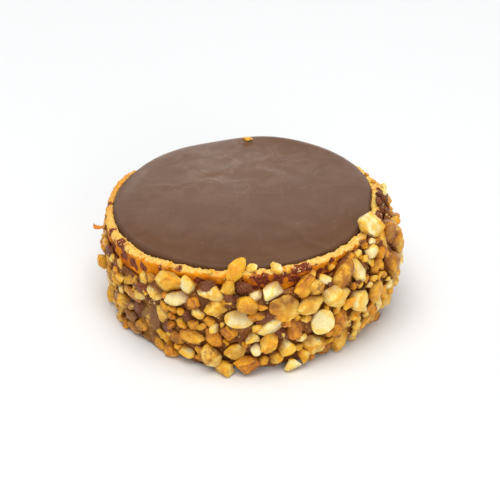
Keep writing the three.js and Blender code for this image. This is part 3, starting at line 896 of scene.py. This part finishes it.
def nut(row, number, balls):
    """Points, faces and marks of one nut lying along the wall, half sunk in the cream."""
    degrees, z, length, width, lean, kind, roast = row[:7]
    radius, tip = row[7:] + (None, 0)[len(row) - 7 :]
    lying = len(row) < 9
    loose = number >= LOOSE and lying
    kind = "chunk" if number >= LOOSE and kind in ("kernel", "half") else kind
    even = kind == "half" and roast == "ivory"
    draw = draws(SEED + 7919 * (number + 1))
    more = draws(SEED + 101 * (number + 3))
    b = degrees * DEG

    share, block, cuts, keep = KINDS[kind]
    thick = share * width
    if length > SMALL:
        thick = min(THICKEST, max(THINNEST, thick))
    half = np.array([length, width, thick]) / 2 * (EVEN_SIZE if even else 1)
    faces = [(np.array([0.0, 0.0, 1.0]), HALF_LEFT * half[2])] if kind == "half" else []
    faces += broken_faces(half, draw, cuts, 0.4, keep, KEEP_MORE)
    sunk = sunk_share(b, z)
    surface = float(coat_r(b, z))
    out = radius
    if not radius:
        out = surface + thick * (PROUD_LEAST + PROUD_MORE * next(draw) - sunk) + BIT_PROUD * loose
    if kind == "shard":
        out, loose = surface + SHARD_PROUD, False
    turn = laid(b, z, out, lean, tip, BIT_SWAY if loose else SWAY, draw)
    if not even and kind not in ("leaf", "sliver"):
        faces += broken_faces(half, more, CHIPS, 0.5, CHIP_LEAST, CHIP_MORE)

    ways, tris = balls[4 if length > FINE_FROM else 3 if length > FEW_FACES else 2]
    if faces:
        ways = onto_edges(ways, half * FULL, block, faces, math.sqrt(BALL_AREA / len(ways)))
    r, broken = reach(ways, half * FULL, block, faces)
    local = ways * r[:, None]
    shift = 37.0 * number
    seat = local + shift
    swell = layered(seat, [(0.09, 0.5 * width, 1), (0.05, 0.25 * width, 2)])
    rough = layered(seat, [(0.06 + 0.17 * broken, 0.9, 3), (0.04 + 0.12 * broken, 0.45, 4)])
    rough *= min(1, length / 4) * min(1, 0.45 + max(0, ROAST[roast])) / np.maximum(r, 0.5)
    crease = np.zeros(len(ways))
    if kind in ("kernel", "half"):
        crease = 0.1 * np.exp(-((local[:, 1] / (0.13 * width)) ** 2)) * (local[:, 2] > 0)
        crease *= np.clip(1 - np.abs(local[:, 0]) / (0.48 * length), 0, 1)
    crease *= 1 if number % 2 else 0.3
    local = local * (1 + (1 - 0.5 * broken) * swell + rough - crease)[:, None]
    placed = keep_clear(local @ turn[:3, :3].T + turn[:3, 3])

    radii, bearing = polar(placed)
    proud = radii - coat_r(bearing, np.minimum(placed[:, 2], coat_top(bearing))) + sunk * thick
    film = np.clip(CLING - proud / CLING_FADE, 0, 1) * (1 - patch(bearing, CLEAN_LEFT)) * lying
    film -= CLEAN_CREAM * (roast in ("cream", "ivory"))
    coated = 2.0 if roast == "chocolate" else 0.5 * next(more) ** 2
    film += 0.5 * smoothed(bearing, placed[:, 2]) + coated
    veil = {"cocoa": 0.75, "olive": 0.35}.get(roast, 0.25 * next(more) ** 2)
    marks = {
        "roast": np.full(len(ways), ROAST[roast] + 0.14 * (next(more) - 0.5)),
        "broken": broken,
        "film": film,
        "veil": np.full(len(ways), veil),
        # painted shade: 1 where the nut's skin lies low near the cream, 0 where it stands out most
        "painted_shade": np.clip(1 - proud / max(0.4, 0.75 * proud.max()), 0, 1) * lying,
        "kernel": local + shift,
    }
    return placed, tris, marks


def join_nuts(name, rows, first, balls, material):
    points, faces, smooth, marks, base = [], [], [], {}, 0
    for i, row in enumerate(rows):
        p, f, m = nut(row, first + i, balls)
        points.append(p)
        faces.append(f + base)
        smooth.append(np.full(len(f), row[2] > FEW_FACES))
        base += len(p)
        for key, values in m.items():
            marks.setdefault(key, []).append(values)
    marks = {key: np.concatenate(values) for key, values in marks.items()}
    points, faces, smooth = (np.concatenate(parts) for parts in (points, faces, smooth))
    obj = piece(name, points, faces, marks, material, smooth)
    obj.data.set_sharp_from_angle(angle=BROKEN_EDGE * DEG)
    return obj


# ---- biscuit, chocolate and cream


def spot_mask(b, z, seat):
    """Where chocolate is smeared on the bare wall, 0 to 1."""
    ragged = layered(seat, SMEAR_EDGE)
    mask = np.zeros(b.shape)
    for degrees, height, wide, tall in SPOTS:
        away = np.hypot(wrapped(b - degrees * DEG) * WALL_R_RIM / wide, (z - height) / tall)
        mask = np.maximum(mask, step(1 - away + 1.3 * ragged, -0.25, 0.5))
    creep = coat_top(b) + 0.5 + layered(seat, SMEAR_CREEP) - z
    mask = np.maximum(mask, step(creep + ragged, 0, 0.5))
    loose = step(layered(seat, LOOSE_SMEAR), 0.62, 0.85)
    return np.maximum(mask, loose * step(rim_h(b) - 0.9 - z, 0, 0.6))


def make_biscuit():
    b = around(900)
    h = rim_h(b)
    inner = recess_r(b)
    edge = WALL_R_RIM + 0.6 * crags(b, 3)
    floor = top_plane(inner, b) - RECESS
    pairs = [
        (0.02, RIM_H - RECESS),
        (inner - 0.8, floor),
        (inner, floor + 0.6),
        (inner, h - 0.5),
        (inner + 0.3, h - crags(b, 6) / 2),
        (edge - RIM_ROUND, h),
        (edge - 0.3 * RIM_ROUND, h - 0.35 * RIM_ROUND),
        (edge, h - RIM_ROUND),
        (wall_r(h - 12), h - 12),
        (wall_r(2), 2),
        (wall_r(0) - 0.4, 0.6),
        (FOOT_R, 0),
        (0.02, 0),
    ]
    rows = spread(b, pairs, (2, 1, 6, 3, 7, 4, 4, 34, 4, 2, 2, 3))
    grid = carry(rows, b)
    radius, z = rows[:, 0], rows[:, 1]
    down = CRUMB_DOWN + patches(b, CRUMB_DOWN_MORE)
    crumb = step(z - h + layered(grid, CRUMB_EDGE), -down - 0.3, 0.2 - down)
    crumb *= step(radius - inner, -0.6, 0.1)
    relief = crumb * layered(grid, CRUMB_RELIEF)
    crumb *= 1 - patch(b, BAKED_OVER)
    smear = spot_mask(np.broadcast_to(b, z.shape), z, grid) * step(radius, 35, 35.4)
    visible = step(z, 1.2, 3) * step(radius - inner, -0.4, 0.1)
    relief += visible * layered(grid, WALL_RELIEF)
    relief += smear * (SMEAR_THICK + layered(grid, SMEAR_RELIEF))
    grid = grid + outward(grid, False) * relief[..., None]
    marks = {"crumb": crumb, "smear": smear}
    return carried("biscuit_shell", grid, False, marks, baked_biscuit())


def make_chocolate():
    b = around(480)
    h = rim_h(b)
    r = recess_r(b) - CLEAR / 2
    foot = top_plane(r, b) - RECESS + CLEAR
    fall = FRONT_FALL * np.clip(0.5 + 0.7 * np.cos(b), 0, 1)
    top = level(r, b) - fall
    pairs = [
        (0.02, RIM_H + PILLOW + DOME),
        (0.45 * r, level(0.45 * r, b) + 0.82 * DOME),
        (0.72 * r, level(0.72 * r, b) + 0.45 * DOME),
        (0.88 * r, level(0.88 * r, b) + 0.25 * DOME - 0.3 * fall),
        (r - 1.4, top),
        (r - 0.45, top - 0.1 * (top - h)),
        (r - 0.05, top - 0.45 * (top - h)),
        (r + 0.1, h + 0.25),
        (r, h - 0.5),
        (r, foot + 0.7),
        (r - 0.9, foot),
        (0.02, RIM_H - RECESS + CLEAR),
    ]
    rows = spread(b, pairs, (30, 14, 8, 8, 6, 5, 4, 3, 2, 2, 2), passes=4)
    grid = carry(rows, b)
    x, y = grid[..., 0], grid[..., 1]
    flat = grid * np.array([1, 1, 0])
    turned = flat @ np.array([[0.8, 0.6, 0], [-0.6, 0.8, 0], [0, 0, 1]])
    warp = grain(turned, *WARP)
    bend = warp[..., None]
    left, back = WORKED_AT
    worked = np.exp(-((np.hypot((x - left) / WORKED_WIDE, y - back) / WORKED_R) ** 2))
    ridge = np.exp(-((grain(turned + 5 * bend, *RIDGES) / RIDGE_WIDE) ** 2))
    folds = worked * (RIDGE_HIGH * ridge + layered(turned + 4 * bend, FOLDS))
    rings = np.hypot(x - SWIRL_AT[0], y - SWIRL_AT[1]) * 2 * math.pi / SWIRL_APART
    waves = SWIRL * np.sin(rings + 5 * warp) + folds + layered(turned, BROAD_WAVES)
    grid[..., 2] += waves * step(rows[:, 1] - h, -0.2, 0.6)
    # edge marks the outer millimetre, where the colour is darkened as painted shade and the surface
    # made rougher
    edge = np.broadcast_to(step(rows[:, 0] - r, -1.0, -0.1), worked.shape)
    marks = {"worked": worked, "edge": edge}
    return carried("chocolate_pillow", grid, False, marks, set_chocolate())


def smoothed(b, z):
    """The place low on the left where cream was wiped flat over the nuts, 0 to 1."""
    return np.clip(patch(b, WIPED) * np.exp(-(((z - WIPED_H) / WIPED_H) ** 2)), 0, 1)


def rise_to(rows_of_nuts, b, z):
    """How far the cream rises towards the nuts in it."""
    rise = np.zeros(z.shape)
    b = np.broadcast_to(b, z.shape)
    for row in rows_of_nuts:
        degrees, height, length, width, lean = row[:5]
        near = np.abs(wrapped(b[0] - degrees * DEG)) * WALL_R_RIM < length
        s = wrapped(b[:, near] - degrees * DEG) * WALL_R_RIM
        t = z[:, near] - height
        c, n = math.cos(lean * DEG), math.sin(lean * DEG)
        away = np.hypot((s * c + t * n) / (length / 2), (t * c - s * n) / (width / 2)) - 1
        size = 0.2 * width * np.exp(-np.maximum(0, away) * mean_r(row) / 0.8)
        rise[:, near] = np.maximum(rise[:, near], size)
    return rise


def make_cream(rows_of_nuts):
    b = around(860)
    top = coat_top(b)
    foot = (wall_r(COAT_FOOT) + 0.1, COAT_FOOT)
    pairs = [foot, (wall_r(top) + 0.1, top)]
    for share in (1, 0.985, 0.96, 0.92, 0.55, 0.15, 0.06, 0):
        z = COAT_FOOT + (top - COAT_FOOT) * share
        pairs.append((coat_r(b, z), z))
    pairs.append(foot)
    rows = spread(b, pairs, (2, 5, 2, 2, 3, 26, 30, 6, 3, 3), passes=1)[:-1]
    radius, z = rows[:, 0], rows[:, 1]
    grid = carry(rows, b)
    outer = step(radius - wall_r(z), 0.3, 0.8)
    rise = np.minimum(rise_to(rows_of_nuts, b, z), RISE_MOST)
    wiped = smoothed(b, z)
    along = wrapped(np.broadcast_to(b, z.shape)) * WALL_R_RIM
    strokes = np.stack([(0.75 * along - 0.66 * z) / 5, 0.66 * along + 0.75 * z, 0 * z], -1)
    streak = grain(strokes, *STREAK)
    relief = 0.8 * layered(grid, CREAM_RELIEF) * (1 - 0.7 * wiped)
    relief = relief + rise * (1 - 0.6 * wiped) - CREAM_SUNK
    relief += wiped * (WIPED_THICK + STREAK_HIGH * streak)
    grid = grid + outward(grid, True) * (relief * outer)[..., None]
    crest = step(z - top, -1.5, 0) * outer
    grid[..., 2] += crest * layered(grid, CREAM_CREST)
    grid[..., 2] = np.maximum(grid[..., 2], CLEAR)
    marks = {"wiped": wiped, "streak": streak}
    return carried("cream_layer", grid, True, marks, chocolate_cream())


def make_flake():
    """The thin stray curl that sticks out at the left."""
    steps, ring = 14, 8
    rows = []
    for i in range(steps):
        t = i / (steps - 1)
        bend = 2.4 * t
        x = -37.6 - 2.6 * math.sin(bend * 0.75)
        middle = np.array([x, -4 + 0.5 * t, 23.4 + 1.1 * t * t - 0.5 * math.sin(bend)])
        wide = 0.8 * math.sin(math.pi * (0.12 + 0.8 * t)) + 0.2
        for k in range(ring):
            a = 2 * math.pi * k / ring
            rim = [0.16 * math.sin(a), wide * math.cos(a), 0.3 * math.sin(a)]
            rows.append(middle + np.array(rim))
    points, quads = wrap(np.array(rows).reshape(steps, ring, 3), False)
    brown = crumb_look("flake_brown", (186, 106, 8), (230, 150, 30))
    obj = piece("stray_flake", points, quads, {"tone": np.full(len(points), 0.5)}, brown)
    made = bmesh.new()
    made.from_mesh(obj.data)
    bmesh.ops.holes_fill(made, edges=made.edges, sides=ring)
    bmesh.ops.recalc_face_normals(made, faces=made.faces)
    made.to_mesh(obj.data)
    made.free()
    return obj


# ---- crumbs


def crumb_tree(name, material):
    """Scatters small broken crumbs over a piece, thickest where its density mark is high."""
    tree = bpy.data.node_groups.new(name, "GeometryNodeTree")
    ids = {}
    tree.interface.new_socket("Geometry", in_out="INPUT", socket_type="NodeSocketGeometry")
    for label, kind, value in (
        ("Per square metre", "NodeSocketFloat", 1e5),
        ("Smallest", "NodeSocketFloat", 0.0001),
        ("Largest", "NodeSocketFloat", 0.0004),
        ("Seed", "NodeSocketInt", 1),
    ):
        socket = tree.interface.new_socket(label, in_out="INPUT", socket_type=kind)
        socket.default_value = value
        ids[label] = socket.identifier
    tree.interface.new_socket("Geometry", in_out="OUTPUT", socket_type="NodeSocketGeometry")

    def node(kind, inputs=None, out=0, **settings):
        return add_node(tree, kind, inputs or {}, settings).outputs[out]

    def chance(kind, out, inputs):
        return node("FunctionNodeRandomValue", inputs, out, data_type=kind)

    source = tree.nodes.new("NodeGroupInput").outputs
    named = {"Name": "density"}
    density = node("GeometryNodeInputNamedAttribute", named, "Attribute", data_type="FLOAT")
    factors = {0: density, 1: source["Per square metre"]}
    amount = node("ShaderNodeMath", factors, operation="MULTIPLY")
    strewn = {"Mesh": source["Geometry"], "Density": amount, "Seed": source["Seed"]}
    how = {"distribute_method": "RANDOM"}
    points = node("GeometryNodeDistributePointsOnFaces", strewn, "Points", **how)
    crumb = node("GeometryNodeMeshIcoSphere", {"Radius": 1.0, "Subdivisions": 1}, "Mesh")
    turn = chance("FLOAT_VECTOR", 0, {0: (0, 0, 0), 1: (6.3, 6.3, 6.3)})
    shape = chance("FLOAT_VECTOR", 0, {0: (0.5, 0.5, 0.35), 1: (1.2, 0.9, 0.7)})
    size = chance("FLOAT", 1, {2: source["Smallest"], 3: source["Largest"]})
    scale = node("ShaderNodeVectorMath", {0: shape, "Scale": size}, operation="SCALE")
    copies = {"Points": points, "Instance": crumb, "Rotation": turn, "Scale": scale}
    placed = node("GeometryNodeInstanceOnPoints", copies)
    tone = chance("FLOAT", 1, {2: 0.0, 3: 1.0, "Seed": 7})
    marks = {"Geometry": placed, "Name": "tone", "Value": tone}
    how = {"data_type": "FLOAT", "domain": "INSTANCE"}
    marked = node("GeometryNodeStoreNamedAttribute", marks, **how)
    solid = node("GeometryNodeRealizeInstances", {"Geometry": marked})
    dressed = node("GeometryNodeSetMaterial", {"Geometry": solid, "Material": material})
    tree.links.new(dressed, tree.nodes.new("NodeGroupOutput").inputs[0])
    return tree, ids


def scatter(name, host, density, material, seed, per_m2, smallest, largest):
    """Crumbs on a copy of a piece, made a plain mesh of their own; sizes in metres."""
    base = shown(name + "_base", host.data.copy())
    mark = base.data.attributes.new("density", "FLOAT", "POINT")
    mark.data.foreach_set("value", density.astype(np.float32))
    tree, ids = crumb_tree(name + "_tree", material)
    scattering = base.modifiers.new("scatter", "NODES")
    scattering.node_group = tree
    values = {"Per square metre": per_m2, "Smallest": smallest, "Largest": largest, "Seed": seed}
    for label, value in values.items():
        scattering[ids[label]] = value
    bpy.context.view_layer.update()
    ready = base.evaluated_get(bpy.context.evaluated_depsgraph_get())
    mesh = bpy.data.meshes.new_from_object(ready)
    mesh.name = name
    bpy.data.objects.remove(base)
    if not mesh.materials:
        mesh.materials.append(material)
    return shown(name, mesh)


def points_of(obj):
    flat = np.empty(len(obj.data.vertices) * 3, np.float32)
    obj.data.vertices.foreach_get("co", flat)
    return flat.reshape(-1, 3).astype(float) / MM


# ---- build

balls = {level: ball(level) for level in (2, 3, 4)}
shelled = ruled_nuts(NAMED, RULED, LARGEST, SMALLEST, draws(SEED), OVERLAP)
bits = ruled_nuts(shelled, BITS, BIT_LARGEST, BIT_SMALLEST, draws(SEED + 5), BIT_OVERLAP)
bits = [row for row in bits[len(shelled) :] if smoothed(row[0] * DEG, row[1]) < 0.35]
bits += [row + ("shard", "chocolate") for row in SHARDS]

nut_look = roasted_nut()
biscuit = make_biscuit()
chocolate = make_chocolate()
cream = make_cream(shelled + bits)
nuts = join_nuts("chopped_nuts", shelled + ON_RIM, 0, balls, nut_look)
small_nuts = join_nuts("small_nut_pieces", bits + BITS_ON_RIM, LOOSE, balls, nut_look)
flake = make_flake()

p = points_of(biscuit)
radii, bearing = polar(p)
rim = step(p[:, 2] - rim_h(bearing), -1.6, -0.5) * step(radii - recess_r(bearing), -0.3, 0.1)
look = crumb_look("loose_crumb", (226, 160, 74), (255, 228, 160))
rim_crumbs = scatter("rim_crumbs", biscuit, rim, look, 3, 1.5e6, 0.00007, 0.0003)
p = points_of(cream)
open_side = step(polar(p)[0] - wall_r(p[:, 2]), 0.5, 1.0)
look = crumb_look("nut_crumb", (196, 124, 44), (255, 226, 150))
nut_grit = scatter("nut_grit", cream, open_side, look, 5, 2.6e5, 0.00012, 0.0005)
p = points_of(chocolate)
above = step(p[:, 2] - top_plane(*polar(p)), 0.3, 1.0)
look = crumb_look("speck_crumb", (170, 120, 80), (240, 214, 170))
top_specks = scatter("top_specks", chocolate, above, look, 9, 5e3, 0.00004, 0.00012)

for made in (biscuit, chocolate, cream, nuts, small_nuts, flake, rim_crumbs, nut_grit, top_specks):
    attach(made, "root")
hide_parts("biscuit")
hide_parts("chocolate_top")
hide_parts("nut_coating")
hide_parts("nut_coating")


# ---- floor, light and camera


def make_floor():
    mesh = bpy.data.meshes.new("floor")
    mesh.from_pydata([(-4, -4, 0), (4, -4, 0), (4, 4, 0), (-4, 4, 0)], [], [(0, 1, 2, 3)])
    mesh.materials.append(white_floor())
    shown("floor", mesh)


def soft_light(name, at, towards, wide, tall, watts, gloss=1.0):
    data = bpy.data.lights.new(name, "AREA")
    data.specular_factor = gloss
    data.shape = "RECTANGLE"
    data.size, data.size_y, data.energy = wide, tall, watts
    obj = shown(name, data)
    obj.location = at
    obj.rotation_euler = (Vector(towards) - Vector(at)).to_track_quat("-Z", "Y").to_euler()
    obj.visible_camera = False


def studio_light():
    world = bpy.data.worlds.new("studio")
    bpy.context.scene.world = world
    world.use_nodes = True
    sky = world.node_tree.nodes["Background"].inputs
    sky["Color"].default_value = (1, 1, 1, 1)
    sky["Strength"].default_value = 0.34
    soft_light("overhead", (-0.05, -0.25, 1.2), (0, 0, 0), 1.1, 1.1, 14, 0.35)
    soft_light("front_fill", (0.3, -1.1, 0.5), (0, 0, 0.02), 0.7, 0.5, 4.2, 0.0)
    soft_light("back_panel", (0, 0.95, 0.18), (0, 0, 0.03), 1.8, 0.36, 3.6)


def photo_camera():
    """Fitted to the photograph, 30 degrees above the floor; the 450 mm away are a guess."""
    above, distance = 30 * DEG, 0.45
    middle = Vector((0.0014, 0, 0.014))
    away = Vector((0, -math.cos(above), math.sin(above)))
    data = bpy.data.cameras.new("photo_camera")
    data.sensor_width = 36
    data.lens = 119.6
    data.clip_start = 0.01
    obj = shown("photo_camera", data)
    obj.location = middle + away * distance
    obj.rotation_euler = (-away).to_track_quat("-Z", "Y").to_euler()
    bpy.context.scene.camera = obj


make_floor()
studio_light()
photo_camera()
bpy.context.scene.view_settings.view_transform = "Standard"

bpy.context.view_layer.update()
